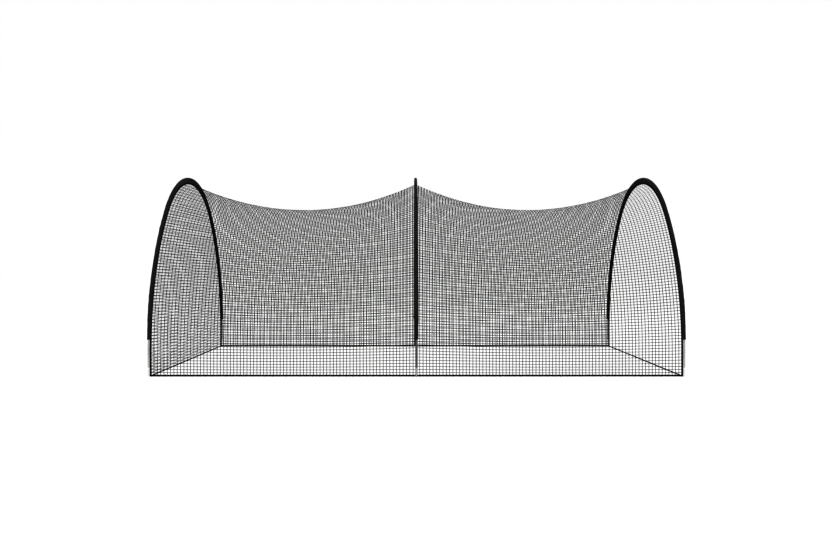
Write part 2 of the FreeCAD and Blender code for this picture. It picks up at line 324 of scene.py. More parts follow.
STEEL = {"pole_steel": pole_coat("pole_coat", 0.40), "stake_zinc": stake_zinc("stake_zinc", 0.82),
         "spigot_steel": plain_steel()}
MIDDLE_STEEL = {"pole_steel": pole_coat("pole_coat_dark", 0.15),
                "stake_zinc": stake_zinc("stake_zinc_dull", 0.52)}
for subpart in frame["record"]["subparts"]:
    slot = subpart["material_slot"]
    if slot in STEEL:
        paints = {**STEEL, **MIDDLE_STEEL} if subpart["node"].startswith("middle") else STEEL
        mesh = nodes[subpart["node"]].data
        mesh.materials.clear()
        mesh.materials.append(paints[slot])

# %% [markdown]
# Three black textiles make the rest. The netting twine and the ropes carry two attributes that
# their trees write: how far along, in metres, and how far round, from 0 to 1. Adding the two
# gives slanted bands, which are the plies of a twisted yarn. The sleeve's cloth has a UV map in
# metres, and two waves across each other make its plain weave.

# %% Textile finishes
def attribute(tree, name):
    return add(tree, "ShaderNodeAttribute", {"attribute_name": name}).outputs["Fac"]


def twisted(tree, lay, plies):
    """Height of slanted plies: a sine of turns along plus turns round."""
    turns = maths(tree, "MULTIPLY_ADD", attribute(tree, "along"), 1.0 / lay,
                  attribute(tree, "around"))
    return maths(tree, "SINE", maths(tree, "MULTIPLY", turns, 2 * math.pi * plies))


def net_twine():
    material, tree, shader, place = finish(
        "net_twine", Roughness=0.8, Specular_IOR_Level=0.06, Sheen_Weight=0.02,
        Sheen_Roughness=0.5,
    )
    tree.links.new(ramp(tree, noise(tree, place, 14.0, 4.0), [(0.3, 0.006), (0.7, 0.014)]),
                   shader.inputs["Base Color"])
    bump(tree, shader, twisted(tree, 0.012, 3), 0.0004, 0.7)
    return material


def rope_fibre():
    material, tree, shader, place = finish(
        "rope_fibre", Roughness=0.65, Specular_IOR_Level=0.10, Sheen_Weight=0.02,
        Sheen_Roughness=0.4,
    )
    tree.links.new(ramp(tree, noise(tree, place, 60.0, 4.0), [(0.3, 0.006), (0.75, 0.016)]),
                   shader.inputs["Base Color"])
    yarns = maths(tree, "ADD", twisted(tree, 0.016, 6),
                  maths(tree, "MULTIPLY", noise(tree, place, 700.0, 3.0), 0.8))
    bump(tree, shader, yarns, 0.0005, 0.6)
    return material


def sleeve_cloth():
    material, tree, shader, place = finish(
        "sleeve_cloth", Roughness=0.8, Specular_IOR_Level=0.16, Sheen_Weight=0.06,
        Sheen_Roughness=0.35,
    )
    cloth = add(tree, "ShaderNodeUVMap", {"uv_map": "cloth"}).outputs["UV"]
    split = add(tree, "ShaderNodeSeparateXYZ")
    tree.links.new(cloth, split.inputs[0])
    threads = []
    for axis in ("X", "Y"):
        turns = maths(tree, "MULTIPLY", split.outputs[axis], 2 * math.pi / 0.0012)
        threads.append(maths(tree, "SINE", turns))
    weave = maths(tree, "MULTIPLY", threads[0], threads[1])
    faded = ramp(tree, noise(tree, place, 3.5, 5.0), [(0.3, 0.034), (0.7, 0.053)])
    flecks = add(tree, "ShaderNodeMix", {"data_type": "RGBA", "blend_type": "MULTIPLY"},
                 Factor=1.0)
    tree.links.new(faded, flecks.inputs[6])
    tree.links.new(ramp(tree, noise(tree, cloth, 260.0, 3.0), [(0.3, 0.8), (0.7, 1.15)]),
                   flecks.inputs[7])
    tree.links.new(flecks.outputs[2], shader.inputs["Base Color"])
    creases = bump(tree, shader, noise(tree, place, 28.0, 4.0), 0.002, 0.5)
    bump(tree, shader, weave, 0.00025, 0.5, under=creases)
    return material


def sewing_thread():
    material, tree, shader, place = finish("sewing_thread", Roughness=0.5,
                                           Specular_IOR_Level=0.3)
    tree.links.new(ramp(tree, noise(tree, place, 400.0, 2.0), [(0.3, 0.02), (0.7, 0.05)]),
                   shader.inputs["Base Color"])
    return material


NET_TWINE, ROPE_FIBRE = net_twine(), rope_fibre()
SLEEVE_CLOTH, SEWING_THREAD = sleeve_cloth(), sewing_thread()

# %% [markdown]
# What repeats is left to Geometry Nodes. A helper builds a tree with named inputs, and another
# runs it on a mesh and keeps the outcome as a plain mesh, since the finished model can hold no
# live modifiers or instances.

# %% Helpers for Geometry Nodes
SOCKET_KINDS = {float: "NodeSocketFloat", int: "NodeSocketInt"}


def new_tree(name, **sizes):
    """A tree with a geometry input, a material input and one input for each size."""
    tree = bpy.data.node_groups.new(name, "GeometryNodeTree")
    tree.interface.new_socket("Geometry", in_out="OUTPUT", socket_type="NodeSocketGeometry")
    tree.interface.new_socket("Geometry", in_out="INPUT", socket_type="NodeSocketGeometry")
    tree.interface.new_socket("Material", in_out="INPUT", socket_type="NodeSocketMaterial")
    for key, value in sizes.items():
        socket = tree.interface.new_socket(key, in_out="INPUT",
                                           socket_type=SOCKET_KINDS[type(value)])
        socket.default_value = value
    start = tree.nodes.new("NodeGroupInput")
    return tree, start


def join(tree, source, node, name):
    tree.links.new(source, node.inputs[name])
    return node


def store(tree, geometry, name, value):
    """Keeps a value at each point, for the material to read."""
    node = add(tree, "GeometryNodeStoreNamedAttribute",
               {"data_type": "FLOAT", "domain": "POINT"}, Name=name)
    join(tree, geometry, node, "Geometry")
    join(tree, value, node, "Value")
    return node.outputs["Geometry"]


def end_tree(tree, start, geometries):
    """Joins the geometries, makes instances real, shades them smooth and paints them."""
    together = tree.nodes.new("GeometryNodeJoinGeometry")
    for geometry in geometries:
        join(tree, geometry, together, "Geometry")
    real = join(tree, together.outputs[0], tree.nodes.new("GeometryNodeRealizeInstances"),
                "Geometry")
    smooth = join(tree, real.outputs[0], tree.nodes.new("GeometryNodeSetShadeSmooth"),
                  "Geometry")
    paint = join(tree, smooth.outputs[0], tree.nodes.new("GeometryNodeSetMaterial"),
                 "Geometry")
    join(tree, start.outputs["Material"], paint, "Material")
    join(tree, paint.outputs[0], tree.nodes.new("NodeGroupOutput"), "Geometry")


def line_mesh(name, lines, flags=None, outward=None, hefts=None):
    """A mesh of open polylines. Flags mark the knots, outward is the way the net faces."""
    points = np.concatenate(lines)
    edges, first = [], 0
    for line in lines:
        index = np.arange(first, first + len(line))
        edges.append(np.stack([index[:-1], index[1:]], axis=1))
        first += len(line)
    edges = np.concatenate(edges)
    mesh = bpy.data.meshes.new(name)
    mesh.vertices.add(len(points))
    mesh.vertices.foreach_set("co", points.astype(np.float32).ravel())
    mesh.edges.add(len(edges))
    mesh.edges.foreach_set("vertices", edges.astype(np.int32).ravel())
    if flags is not None:
        layer = mesh.attributes.new("marked", "BOOLEAN", "POINT")
        layer.data.foreach_set("value", np.concatenate(flags))
    if outward is not None:
        layer = mesh.attributes.new("outward", "FLOAT_VECTOR", "POINT")
        layer.data.foreach_set("vector", np.concatenate(outward).astype(np.float32).ravel())
    if hefts is not None:
        layer = mesh.attributes.new("heft", "FLOAT", "POINT")
        layer.data.foreach_set("value", np.repeat(hefts, [len(line) for line in lines]))
    mesh.update()
    return mesh


def grown(name, source, tree, material, **sizes):
    """The piece that a tree makes from a source mesh, as a plain mesh object."""
    carrier = bpy.data.objects.new(name + "_carrier", source)
    scene.collection.objects.link(carrier)
    modifier = carrier.modifiers.new(tree.name, "NODES")
    modifier.node_group = tree
    values = {"Material": material, **sizes}
    for item in tree.interface.items_tree:
        if item.in_out == "INPUT" and item.name in values:
            modifier[item.identifier] = values[item.name]
    shown = carrier.evaluated_get(bpy.context.evaluated_depsgraph_get())
    mesh = bpy.data.meshes.new_from_object(shown)
    mesh.name = name
    bpy.data.objects.remove(carrier)
    bpy.data.meshes.remove(source)
    piece = bpy.data.objects.new(name, mesh)
    scene.collection.objects.link(piece)
    mesh.calc_loop_triangles()
    print(name, "triangles", len(mesh.loop_triangles))
    return piece


# %% [markdown]
# The rope along every edge is three strands laid together. The tree resamples the path evenly,
# turns the curve steadily about itself, and sweeps three small circles along it, so the
# strands wind round each other as laid rope does.

# %% The rope tree
STRANDS = 3
STRAND_SIDES = 7
STRAND_RADIUS = 0.55          # in radii of the rope
STRAND_OFFSET = 0.48


def rope_tree():
    tree, start = new_tree("laid_rope", Radius=0.009, Lay=0.055, Step=0.007)
    path = join(tree, start.outputs["Geometry"], tree.nodes.new("GeometryNodeMeshToCurve"),
                "Mesh")
    even = add(tree, "GeometryNodeResampleCurve")
    even.mode = "LENGTH"
    join(tree, path.outputs[0], even, "Curve")
    join(tree, start.outputs["Step"], even, "Length")
    along = tree.nodes.new("GeometryNodeSplineParameter").outputs["Length"]
    turns = maths(tree, "DIVIDE", along, start.outputs["Lay"])
    twist = tree.nodes.new("GeometryNodeSetCurveTilt")
    join(tree, even.outputs[0], twist, "Curve")
    join(tree, maths(tree, "MULTIPLY", turns, 2 * math.pi), twist, "Tilt")
    path = store(tree, twist.outputs[0], "along", along)

    strand_radius = maths(tree, "MULTIPLY", start.outputs["Radius"], STRAND_RADIUS)
    strand_offset = maths(tree, "MULTIPLY", start.outputs["Radius"], STRAND_OFFSET)
    circle = add(tree, "GeometryNodeCurvePrimitiveCircle", Resolution=STRAND_SIDES)
    join(tree, strand_radius, circle, "Radius")
    factor = tree.nodes.new("GeometryNodeSplineParameter").outputs["Factor"]
    section = store(tree, circle.outputs[0], "around", factor)
    strands = tree.nodes.new("GeometryNodeJoinGeometry")
    for index in range(STRANDS):
        angle = index * 2 * math.pi / STRANDS
        shift = tree.nodes.new("ShaderNodeCombineXYZ")
        join(tree, maths(tree, "MULTIPLY", strand_offset, math.cos(angle)), shift, "X")
        join(tree, maths(tree, "MULTIPLY", strand_offset, math.sin(angle)), shift, "Y")
        moved = join(tree, section, tree.nodes.new("GeometryNodeTransform"), "Geometry")
        join(tree, shift.outputs[0], moved, "Translation")
        join(tree, moved.outputs[0], strands, "Geometry")
    sweep = add(tree, "GeometryNodeCurveToMesh", Fill_Caps=True)
    join(tree, path, sweep, "Curve")
    join(tree, strands.outputs[0], sweep, "Profile Curve")
    end_tree(tree, start, [sweep.outputs[0]])
    return tree


LAID_ROPE = rope_tree()

# %% [markdown]
# The hem ropes lie on the ground round the foot of the net, and an edge rope follows each hoop
# from corner to corner. Each stands for the plain rope of the frame, so it takes its place
# from that node's box. A laid rope is measured over its strands, so it is drawn a little
# fuller than the plain one. The ropes across the two ends are lighter than the others, and a
# thinner rope has a shorter lay. On the ground a rope is never quite straight, so the hems
# wander a few millimetres. The middle hoop carries both nets, so the cloth above its edge rope
# has stretched, and the rope hangs a little lower at the crown.

# %% Ropes
ROPE_STEP = 0.02
WANDER = 0.002
WANDER_WAVES = (2.3, 5.1)     # radians a metre
FULLNESS = 1.10
LAY_IN_RADII = 5.4
STEPS_IN_A_LAY = 8
MIDDLE_DROP = 0.013


def points_between(start, end, step):
    start, end = np.array(start, float), np.array(end, float)
    count = max(2, round(np.linalg.norm(end - start) / step) + 1)
    return start + np.linspace(0, 1, count)[:, None] * (end - start)


def laid_radius(name):
    """Radius over the strands: half the smallest side of the plain rope's box, and fuller."""
    low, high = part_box(f"{name}_rope")
    return min(high - low) / 2 * FULLNESS


def hem_line(side):
    low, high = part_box(f"{side}_hem_rope")
    middle = (low + high) / 2
    along = 0 if high.x - low.x > high.y - low.y else 1
    ends = [list(middle), list(middle)]
    ends[0][along], ends[1][along] = low[along], high[along]
    line = points_between(*ends, ROPE_STEP)
    run = line[:, along]
    line[:, 1 - along] += WANDER * (np.sin(run * WANDER_WAVES[0] + along)
                                      * np.sin(run * WANDER_WAVES[1]))
    line[:, 2] = laid_radius(f"{side}_hem")
    return line


def stretch(hoop, share):
    """How much lower a hoop's edge rope hangs, from none at the ground to most at the crown."""
    most = MIDDLE_DROP if hoop == "middle" else 0.0
    return most * np.sin(math.pi * share) ** 2


def edge_line(hoop, base):
    count = round(net_line.length(base) / ROPE_STEP)
    share = np.linspace(0, 1, count)
    place, outward = net_line.at(share, base)
    place = place - outward * stretch(hoop, share)[:, None]
    return np.column_stack([np.full(count, hoop_x[hoop]), place])


hem_top = 2 * rope_radius
ROPES = {f"{side}_hem": hem_line(side) for side in ("front", "back", "closed_end", "open_end")}
ROPES.update({f"{hoop}_edge": edge_line(hoop, hem_top) for hoop in HOOPS})
for name, line in ROPES.items():
    radius = laid_radius(name)
    lay = radius * LAY_IN_RADII
    piece = grown(f"{name}_laid_rope", line_mesh(name, [line]), LAID_ROPE, ROPE_FIBRE,
                  Radius=radius, Lay=lay, Step=lay / STEPS_IN_A_LAY)
    print(name, "rope", round(2000 * radius, 1), "mm over the strands")
    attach(piece, "cage")
    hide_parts(f"{name}_rope")

# %% [markdown]
# The net is made fast to its ropes with seizings: at every other mesh, two turns of twine go
# round the rope and through the edge of the net. One seizing is modelled, as a short coil, and
# the tree sets it along each rope, square to the rope's own direction.

# %% Seizings
SEIZING_PITCH = 0.0762
SEIZING_TWINE = 0.0028
SEIZING_TURNS = 2
COIL_POINTS = 9


def seizing_tree():
    tree, start = new_tree("seizings", Radius=0.011, Pitch=SEIZING_PITCH, Twine=SEIZING_TWINE)
    path = join(tree, start.outputs["Geometry"], tree.nodes.new("GeometryNodeMeshToCurve"),
                "Mesh")
    even = add(tree, "GeometryNodeResampleCurve")
    even.mode = "LENGTH"
    join(tree, path.outputs[0], even, "Curve")
    join(tree, start.outputs["Pitch"], even, "Length")
    coil = add(tree, "GeometryNodeCurveSpiral", Resolution=COIL_POINTS, Rotations=SEIZING_TURNS)
    join(tree, start.outputs["Radius"], coil, "Start Radius")
    join(tree, start.outputs["Radius"], coil, "End Radius")
    join(tree, maths(tree, "MULTIPLY", start.outputs["Twine"], SEIZING_TURNS), coil, "Height")
    along = tree.nodes.new("GeometryNodeSplineParameter").outputs["Length"]
    coil = store(tree, coil.outputs[0], "along", along)
    circle = add(tree, "GeometryNodeCurvePrimitiveCircle", Resolution=4)
    join(tree, maths(tree, "MULTIPLY", start.outputs["Twine"], 0.5), circle, "Radius")
    factor = tree.nodes.new("GeometryNodeSplineParameter").outputs["Factor"]
    sweep = add(tree, "GeometryNodeCurveToMesh", Fill_Caps=True)
    join(tree, coil, sweep, "Curve")
    join(tree, store(tree, circle.outputs[0], "around", factor), sweep, "Profile Curve")
    turn = add(tree, "FunctionNodeAlignRotationToVector", {"axis": "Z"})
    join(tree, tree.nodes.new("GeometryNodeInputTangent").outputs[0], turn, "Vector")
    set_out = tree.nodes.new("GeometryNodeInstanceOnPoints")
    join(tree, even.outputs[0], set_out, "Points")
    join(tree, sweep.outputs[0], set_out, "Instance")
    join(tree, turn.outputs[0], set_out, "Rotation")
    end_tree(tree, start, [set_out.outputs[0]])
    return tree


SEIZINGS = seizing_tree()
for name, line in ROPES.items():
    inner = line[1:-1]
    piece = grown(f"{name}_seizings", line_mesh(name, [inner]), SEIZINGS, NET_TWINE,
                  Radius=laid_radius(name) + SEIZING_TWINE / 4)
    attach(piece, "cage")

# %% [markdown]
# The netting is a flat braided twine, 4.5 mm wide and about 1 mm thick, knotted in a 38 mm
# square mesh, 80 meshes to a bay. It must be flat, because the roof, which is seen almost
# edge-on, looks no denser than the walls. The upright twines follow the arch and the level
# twines hang from hoop to hoop, as polylines through the same crossings. The tree lays a flat
# section along each, facing outward, and puts a flat knot on each crossing.

# %% The net tree
TWINE = 0.0048
TWINE_THICKNESS = 0.0005
UPRIGHT_HEFT = 1.04           # the twines that run up carry the net, and look heavier
LEVEL_HEFT = 0.90
KNOT = 0.0080
KNOT_FLATNESS = 0.18
HEXAGON_WIDTH = math.cos(math.radians(30))     # flat to flat, of a circle of 1


def net_tree():
    tree, start = new_tree("knotted_net", Twine=TWINE, Thickness=TWINE_THICKNESS, Knot=KNOT)
    facing = add(tree, "GeometryNodeInputNamedAttribute", {"data_type": "FLOAT_VECTOR"},
                 Name="outward").outputs[0]
    path = join(tree, start.outputs["Geometry"], tree.nodes.new("GeometryNodeMeshToCurve"),
                "Mesh")
    turned = tree.nodes.new("GeometryNodeSetCurveNormal")
    turned.mode = "FREE"
    join(tree, path.outputs[0], turned, "Curve")
    join(tree, facing, turned, "Normal")
    along = tree.nodes.new("GeometryNodeSplineParameter").outputs["Length"]
    path = store(tree, turned.outputs[0], "along", along)
    circle = add(tree, "GeometryNodeCurvePrimitiveCircle", Resolution=6, Radius=0.5)
    factor = tree.nodes.new("GeometryNodeSplineParameter").outputs["Factor"]
    section = store(tree, circle.outputs[0], "around", factor)
    size = tree.nodes.new("ShaderNodeCombineXYZ")
    join(tree, start.outputs["Thickness"], size, "X")
    join(tree, maths(tree, "DIVIDE", start.outputs["Twine"], HEXAGON_WIDTH), size, "Y")
    size.inputs["Z"].default_value = 1.0
    section = join(tree, section, tree.nodes.new("GeometryNodeTransform"), "Geometry")
    join(tree, size.outputs[0], section, "Scale")
    heft = add(tree, "GeometryNodeInputNamedAttribute", {"data_type": "FLOAT"}, Name="heft")
    sweep = add(tree, "GeometryNodeCurveToMesh", Fill_Caps=True)
    join(tree, path, sweep, "Curve")
    join(tree, section.outputs[0], sweep, "Profile Curve")
    join(tree, heft.outputs[0], sweep, "Scale")

    ball = add(tree, "GeometryNodeMeshUVSphere", Segments=5, Rings=2)
    join(tree, maths(tree, "MULTIPLY", start.outputs["Knot"], 0.5), ball, "Radius")
    flat = add(tree, "GeometryNodeTransform", Scale=(1.0, 1.0, KNOT_FLATNESS))
    join(tree, ball.outputs[0], flat, "Geometry")
    marked = add(tree, "GeometryNodeInputNamedAttribute", {"data_type": "BOOLEAN"},
                 Name="marked")
    turn = add(tree, "FunctionNodeAlignRotationToVector", {"axis": "Z"})
    join(tree, facing, turn, "Vector")
    knots = tree.nodes.new("GeometryNodeInstanceOnPoints")
    join(tree, start.outputs["Geometry"], knots, "Points")
    join(tree, marked.outputs[0], knots, "Selection")
    join(tree, flat.outputs[0], knots, "Instance")
    join(tree, turn.outputs[0], knots, "Rotation")
    end_tree(tree, start, [sweep.outputs[0], knots.outputs[0]])
    return tree


def netting(name, lines, flags, facing):
    """A piece of netting. The upright twines are those that have the knots."""
    hefts = [UPRIGHT_HEFT if marks.any() else LEVEL_HEFT for marks in flags]
    source = line_mesh("twines", lines, flags, facing, hefts)
    return grown(name, source, KNOTTED_NET, NET_TWINE)


KNOTTED_NET = net_tree()

# %% [markdown]
# Between two hoops the net sags like a hanging chain. Each column of crossings lies on an arch
# of its own, flatter and lower towards the middle of the bay, and the crossings are evenly
# spaced along it. Real netting is never this exact, so every crossing then moves a little:
# smooth noise for the slack of the net, and a fine one for the uneven knots.

# %% Bay nets
MESHES_IN_BAY = 80
MESHES_ROUND = 176
SAG = 0.357
SAG_SIDE_RADIUS = 2.1
PANEL_ROWS = {"front": (0, 60), "roof": (60, 116), "back": (116, 176)}
SLACK = 0.0005
SLACK_PASSES = 14             # how smooth the slack is
HELD_MESHES = 6               # meshes from an edge before a crossing moves freely
UNEVEN = 0.0002
STRETCH_REACH = 2.2           # how far from the middle hoop its lower crown is felt


def smooth_noise(random, shape, passes):
    """Noise of about unit size that changes slowly from point to point."""
    field = random.standard_normal(shape)
    for _ in range(passes):
        for axis in (0, 1):
            ahead, behind = np.roll(field, 1, axis), np.roll(field, -1, axis)
            field = (ahead + 2 * field + behind) / 4
    return field / field.std()


def bay_crossings(start_x, end_x, seed):
    """Places of the crossings, by column and row, edges included."""
    random = np.random.default_rng(seed)
    columns, rows = MESHES_IN_BAY + 1, MESHES_ROUND + 1
    grid = np.zeros((columns, rows, 3))
    outward = np.zeros((columns, rows, 3))
    share = np.linspace(0, 1, rows)
    for column, across in enumerate(np.linspace(0, 1, columns)):
        depth = 4 * across * (1 - across)
        side = net_line.side + depth * (SAG_SIDE_RADIUS - net_line.side)
        arch = Arch(net_half_width, side, top=net_line.top - depth * SAG)
        place, normal = arch.at(share, rope_radius)
        x = start_x + across * (end_x - start_x)
        near = max(0.0, 1 - abs(x - hoop_x["middle"]) / STRETCH_REACH)
        lower = near**2 * (3 - 2 * near) * stretch("middle", share)
        grid[column, :, 0] = x
        grid[column, :, 1:] = place - normal * lower[:, None]
        outward[column, :, 1:] = normal
    hold = np.ones((columns, rows))
    for axis, count in ((0, columns), (1, rows)):
        inward = np.minimum(np.arange(count), np.arange(count)[::-1]) / HELD_MESHES
        fade = np.minimum(inward, 1.0)
        hold *= fade[:, None] if axis == 0 else fade[None, :]
    slack = smooth_noise(random, (columns, rows), SLACK_PASSES) * SLACK
    grid += outward * (slack * hold)[..., None]
    for axis in range(3):
        grid[..., axis] += random.standard_normal((columns, rows)) * UNEVEN * hold
    return grid, outward


def panel_lines(grid, outward, first, last):
    """Upright and level twines of the rows from first to last."""
    columns = grid.shape[0]
    lines, flags, facing = [], [], []
    for column in range(1, columns - 1):
        line = grid[column, first:last + 1]
        mark = np.ones(len(line), bool)
        mark[0] = False
        mark[-1] = last < grid.shape[1] - 1
        lines.append(line)
        flags.append(mark)
        facing.append(outward[column, first:last + 1])
    for row in range(first + 1, last + 1):
        if row < grid.shape[1] - 1:
            lines.append(grid[:, row])
            flags.append(np.zeros(columns, bool))
            facing.append(outward[:, row])
    return lines, flags, facing


def line_length(line):
    return float(np.linalg.norm(np.diff(line, axis=0), axis=1).sum())


def hang(piece, lines, flat, node):
    """Attaches a net, hides the frame's plain net and prints the twine's share of its flat area."""
    twine_area = sum(line_length(line) for line in lines) * TWINE
    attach(piece, "cage")
    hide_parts(node)
    print(piece.name, "flat", [round(x, 3) for x in flat],
          "twine share", round(twine_area / flat[0] / flat[1], 3))


BAYS = {"closed_bay": ("closed_end", "middle"), "open_bay": ("middle", "open_end")}
for seed, (bay, (start_hoop, end_hoop)) in enumerate(BAYS.items()):
    grid, outward = bay_crossings(hoop_x[start_hoop], hoop_x[end_hoop], seed)
    for panel, (first, last) in PANEL_ROWS.items():
        lines, flags, facing = panel_lines(grid, outward, first, last)
        piece = netting(f"{bay}_{panel}_netting", lines, flags, facing)
        width = line_length(grid[:, (first + last) // 2])
        height = line_length(grid[MESHES_IN_BAY // 2, first:last + 1])
        hang(piece, lines, (width, height),
             f"{bay}_net")

# %% [markdown]
# The closed end is a flat panel of the same netting, cut to the arch. Its twines run straight
# up and straight across and end in the edge rope. The panel hangs free below the crown, so it
# bellies a little.

# %% End wall net
WALL_PITCH = 0.0381
WALL_BELLY = 0.03
BELLY_FADE = 0.5              # from an edge in to where the wall hangs free
CURVE_POINTS = 4001
wall_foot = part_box("closed_end_hem_rope")[1].z / 2


def wall_height(across):
    """Height of the edge rope's line at a distance from the middle of the cage."""
    share = np.linspace(0.5, 1.0, CURVE_POINTS)
    place, _ = net_line.at(share, 0.0)
    return np.interp(across, place[:, 0], place[:, 1])


def wall_half_width(height):
    share = np.linspace(1.0, 0.5, CURVE_POINTS)
    place, _ = net_line.at(share, 0.0)
    return np.interp(height, place[:, 1], place[:, 0])


def wall_place(y, z):
    """A point of the end wall, which bellies towards the inside."""
    y, z = np.broadcast_arrays(np.asarray(y, float), np.asarray(z, float))
    above = np.clip((wall_height(np.abs(y)) - z) / BELLY_FADE, 0, 1)
    free = above * np.clip(z / BELLY_FADE, 0, 1)
    belly = WALL_BELLY * free * np.cos(y * 0.9) * (1 + 0.3 * np.sin(z * 3))
    return np.stack([hoop_x["closed_end"] + belly, y, z], axis=-1)


def wall_lines():
    """Upright and level twines of the end wall, cut off by the edge rope."""
    side = np.arange(1, MESHES_ROUND // 2) * WALL_PITCH
    columns = np.concatenate([-side[::-1], [0.0], side])
    columns = columns[np.abs(columns) < net_half_width - WALL_PITCH / 3]
    rows = wall_foot + side
    rows = rows[rows < net_line.top - WALL_PITCH / 3]
    shy = WALL_PITCH / 8
    lines, flags = [], []
    for y in columns:
        top = wall_height(abs(y))
        inner = rows[rows < top - shy]
        lines.append(wall_place(y, np.concatenate([[wall_foot], inner, [top]])))
        flags.append(np.concatenate([[False], np.ones(len(inner), bool), [False]]))
    for z in rows:
        half = wall_half_width(z)
        inner = columns[np.abs(columns) < half - shy]
        lines.append(wall_place(np.concatenate([[-half], inner, [half]]), z))
        flags.append(np.zeros(len(lines[-1]), bool))
    return lines, flags


lines, flags = wall_lines()
WALL_COLUMNS = sum(line[0, 2] < wall_foot * 1.01 for line in lines)
facing = [np.tile((-1.0, 0.0, 0.0), (len(line), 1)) for line in lines]
piece = netting("end_wall_netting", lines, flags, facing)
span = max(line_length(line) for line in lines[WALL_COLUMNS:])
drop = max(line_length(line) for line in lines[:WALL_COLUMNS])
hang(piece, lines, (span, drop), "end_wall_net")

# %% [markdown]
# Each sleeve is one strip of black cloth, folded over its pole and sewn to itself, which
# leaves a pocket round the pole and a doubled web that reaches in to the edge rope. It is
# modelled as that strip, with both of its faces, so the pocket is truly open at the sleeve's
# ends. The pocket is drawn tight at the crown, where the net pulls on it, and is looser and
# more wrinkled down the legs.

# %% Sleeves
CLOTH = 0.0016
POCKET_RADIUS = 0.0172
POCKET_DROP = 0.0030
SINK = 0.0002                 # the pole is close behind the cloth, so wrinkles only rise
SEAM_DEPTH = 0.0285           # from the pocket's middle in to the seam
WIDTH_HEIGHTS = (0.43, 0.55, 0.66, 0.85, 1.20, 1.60, 2.00, 2.46)
FRONT_WIDTHS = (0.0195, 0.0200, 0.0225, 0.0240, 0.0222, 0.0205, 0.0188, 0.0170)
BACK_WIDTHS = (0.0168, 0.0165, 0.0162, 0.0162, 0.0162, 0.0163, 0.0166, 0.0170)
SLEEVE_END_HEIGHT = 0.430
HEM_DEPTH = 0.022
HEM_PLIES = 1.9
WRINKLE = 0.0006
LEG_WRINKLE = 0.0012          # more of it down the legs
LEG_SWELL = 0.0014
WEB_WAVER = 0.0010
BULGE = 0.12                  # how much a loose pocket also deepens
RING_STEP = 0.012
POCKET_POINTS = 34
WEB_POINTS = 6
FINE_PASSES = 3
BROAD_PASSES = 40

web_depth = (pole_half_width - net_half_width) - rope_radius


def strip_line(loose, depth):
    """The folded strip across the pole: its middle line and outward normals, as (x, out)."""
    half_gap = CLOTH / 2 + 0.0002
    lean = math.acos(POCKET_RADIUS / SEAM_DEPTH)
    around = np.linspace(-math.pi / 2 - lean, -math.pi / 2 - 2 * math.pi + lean, POCKET_POINTS)
    pocket = np.stack([np.cos(around), np.sin(around)], axis=1) * POCKET_RADIUS
    pocket[:, 0] *= 1 + loose
    pocket[:, 1] *= 1 + BULGE * loose
    web = np.linspace(-depth + POCKET_DROP, -SEAM_DEPTH, WEB_POINTS)
    left = np.stack([np.full(WEB_POINTS, -half_gap), web], axis=1)
    right = left[::-1] * (-1, 1)
    line = np.concatenate([left, pocket, right])
    tangent = np.gradient(line, axis=0)
    tangent /= np.linalg.norm(tangent, axis=1)[:, None]
    normal = np.stack([-tangent[:, 1], tangent[:, 0]], axis=1)
    line[:, 1] -= POCKET_DROP
    return line, normal


def sleeve(hoop, seed):
    random = np.random.default_rng(seed)
    first = pole_line.share_at_height(SLEEVE_END_HEIGHT)
    length = pole_line.length() * (1 - 2 * first)
    rings = round(length / RING_STEP) + 1
    share = np.linspace(first, 1 - first, rings)
    place, outward = pole_line.at(share)
    depth = web_depth + stretch(hoop, share)
    run = np.linspace(0, length, rings)
    from_end = np.minimum(run, length - run)
    low = np.clip(1 - place[:, 1] / pole_line.top, 0, 1)
    points = 2 * WEB_POINTS + POCKET_POINTS
    wrinkle = smooth_noise(random, (rings, points), FINE_PASSES)
    broad = smooth_noise(random, (rings, points), BROAD_PASSES)
    on_pocket = np.zeros(points)
    on_pocket[WEB_POINTS:-WEB_POINTS] = np.sin(np.linspace(0, math.pi, POCKET_POINTS)) ** 0.5
    on_web = 1 - on_pocket

    outer, inner = np.zeros((2, rings, points, 3))
    uv = np.zeros((rings, points, 2))
    for ring in range(rings):
        widths = FRONT_WIDTHS if place[ring, 0] < 0 else BACK_WIDTHS
        half_width = np.interp(place[ring, 1], WIDTH_HEIGHTS, widths)
        loose = (half_width - CLOTH / 2) / POCKET_RADIUS - 1
        line, normal = strip_line(loose, depth[ring])
        swell = (WRINKLE + LEG_WRINKLE * low[ring]) * wrinkle[ring]
        swell = swell + LEG_SWELL * low[ring] * broad[ring]
        swell = np.maximum(swell, -SINK)
        line = line + normal * (swell * on_pocket)[:, None]
        line[:, 0] += WEB_WAVER * broad[ring].mean() * on_web
        thick = CLOTH * (HEM_PLIES if from_end[ring] < HEM_DEPTH else 1.0)
        for target, side in ((outer, 0.5), (inner, -0.5)):
            bent = line + normal * thick * side
            target[ring, :, 0] = hoop_x[hoop] + bent[:, 0]
            target[ring, :, 1:] = place[ring] + bent[:, 1:] * outward[ring]
        uv[ring, :, 0] = np.concatenate([[0], np.cumsum(
            np.linalg.norm(np.diff(line, axis=0), axis=1))])
        uv[ring, :, 1] = run[ring]
    return outer, inner, uv


